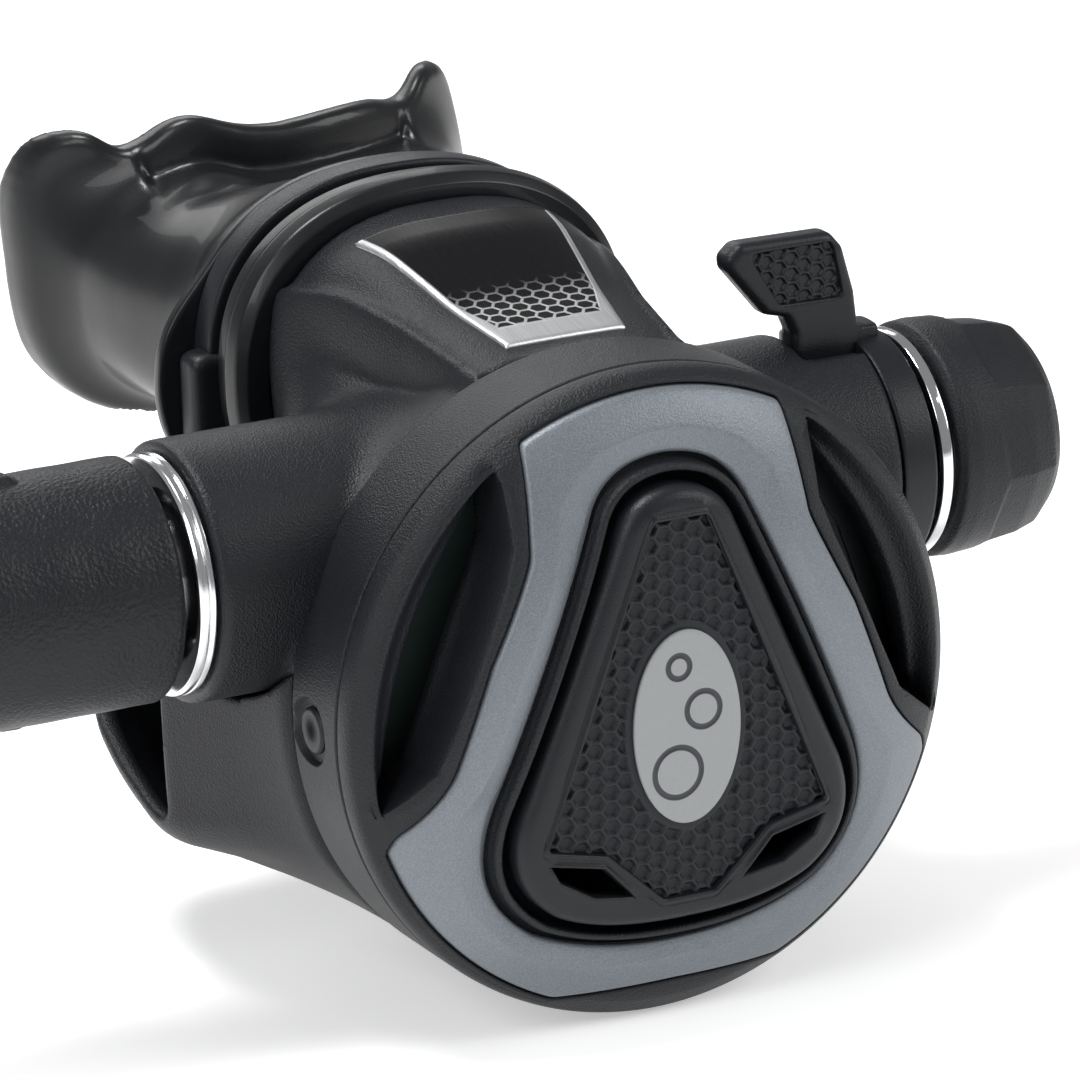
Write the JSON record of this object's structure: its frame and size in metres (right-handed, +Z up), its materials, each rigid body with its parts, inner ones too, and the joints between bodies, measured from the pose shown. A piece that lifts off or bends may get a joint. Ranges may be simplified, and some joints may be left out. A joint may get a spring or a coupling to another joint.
{
  "type": "scuba second stage regulator",
  "caption": "Second stage demand regulator with purge cover, side barrel, resistance knob, venturi lever, exhaust duct, mouthpiece and turning hose sleeve.",
  "frame": {"origin": "centre of the underside of the bounding box", "axes": "+X along the barrel from the hose end to the knob, +Y from the purge cover back to the mouthpiece, +Z up"},
  "size_m": [0.151, 0.1196, 0.0825],
  "materials": {
    "moulded_black": "fine grained matte moulding",
    "silicone_black": "smooth satin silicone",
    "grey_paint": "satin metallic paint",
    "mark_grey": "printed matt",
    "label_metal": "brushed, fading to gloss black",
    "chrome_plate": "polished",
    "spring_steel": "satin",
    "plain_brass": "machined",
    "seal_rubber": "matt",
    "clear_silicone": "translucent silicone",
    "green_plastic": "matt",
    "white_plastic": "matt"
  },
  "bodies": {
    "body": {"case_body": "moulded_black", "exhaust_grid": "white_plastic", "exhaust_valve": "clear_silicone", "exhaust_tee": "moulded_black", "label_plate": "label_metal", "cover_ring": "moulded_black", "front_cover": "moulded_black", "trim_plate": "grey_paint", "slip_ring": "white_plastic", "diaphragm_membrane": "clear_silicone", "valve_tube": "chrome_plate", "inlet_orifice": "plain_brass", "orifice_seal": "seal_rubber", "tube_nut": "chrome_plate", "right_metal_ring": "chrome_plate", "left_metal_ring": "chrome_plate", "hose_nut": "chrome_plate", "inlet_fitting": "chrome_plate", "swivel_seal": "seal_rubber", "mouthpiece": "silicone_black", "mouthpiece_clamp": "moulded_black", "purge_spring": "spring_steel", "poppet_spring": "spring_steel"},
    "purge": {"purge_button": "moulded_black", "purge_emblem": "mark_grey"},
    "diaphragm_plate": {"diaphragm_disc": "green_plastic", "disc_rivet": "spring_steel"},
    "lever": {"demand_lever": "spring_steel", "lever_pivot": "spring_steel"},
    "poppet_group": {"poppet": "white_plastic", "poppet_seat": "seal_rubber"},
    "plunger": {"balance_cylinder": "plain_brass"},
    "knob": {"adjusting_knob": "moulded_black", "adjusting_screw": "plain_brass", "screw_seal": "seal_rubber"},
    "venturi": {"venturi_lever": "moulded_black", "venturi_vane": "moulded_black"},
    "sleeve": {"hose_sleeve": "moulded_black"},
    "cover_lock": {"cover_lock_pin": "moulded_black"}
  },
  "joints": [
    {"name": "purge_press", "type": "slide", "parent": "body", "child": "purge", "axis": [0, 1, 0], "range_m": [0, 0.0032], "stiffness_N_per_m": 600, "springref_m": -0.001, "deforming": ["purge_spring"]},
    {"name": "diaphragm_travel", "type": "slide", "parent": "body", "child": "diaphragm_plate", "axis": [0, 1, 0], "range_m": [0, 0.0033], "deforming": ["diaphragm_membrane"]},
    {"name": "lever_swing", "type": "hinge", "parent": "body", "child": "lever", "pos_m": [-0.0025, -0.0218, 0.05], "axis": [0, 0, 1], "range_deg": [0, 9.6]},
    {"name": "poppet_lift", "type": "slide", "parent": "body", "child": "poppet_group", "axis": [1, 0, 0], "range_m": [0, 0.00056], "deforming": ["poppet_spring"]},
    {"name": "knob_turn", "type": "hinge", "parent": "body", "child": "knob", "pos_m": [0.0645, -0.025, 0.05], "axis": [1, 0, 0], "range_deg": [0, 900]},
    {"name": "plunger_advance", "type": "slide", "parent": "body", "child": "plunger", "axis": [-1, 0, 0], "range_m": [0, 0.0021]},
    {"name": "venturi_turn", "type": "hinge", "parent": "body", "child": "venturi", "pos_m": [0.0545, -0.025, 0.05], "axis": [-1, 0, 0], "range_deg": [0, 40]},
    {"name": "sleeve_turn", "type": "hinge", "parent": "body", "child": "sleeve", "pos_m": [-0.0555, -0.025, 0.05], "axis": [1, 0, 0], "continuous": true},
    {"name": "cover_lock_press", "type": "slide", "parent": "body", "child": "cover_lock", "axis": [1, 0, 0], "range_m": [0, 0.0005], "stiffness_N_per_m": 2000, "springref_m": -0.0002}
  ],
  "couplings": [
    {"joint": "diaphragm_travel", "follows": "purge_press", "ratio": 1},
    {"joint": "lever_swing", "follows": "purge_press", "rad_per_m": 50},
    {"joint": "poppet_lift", "follows": "purge_press", "ratio": 0.16},
    {"joint": "plunger_advance", "follows": "knob_turn", "m_per_rad": 0.00012732}
  ]
}
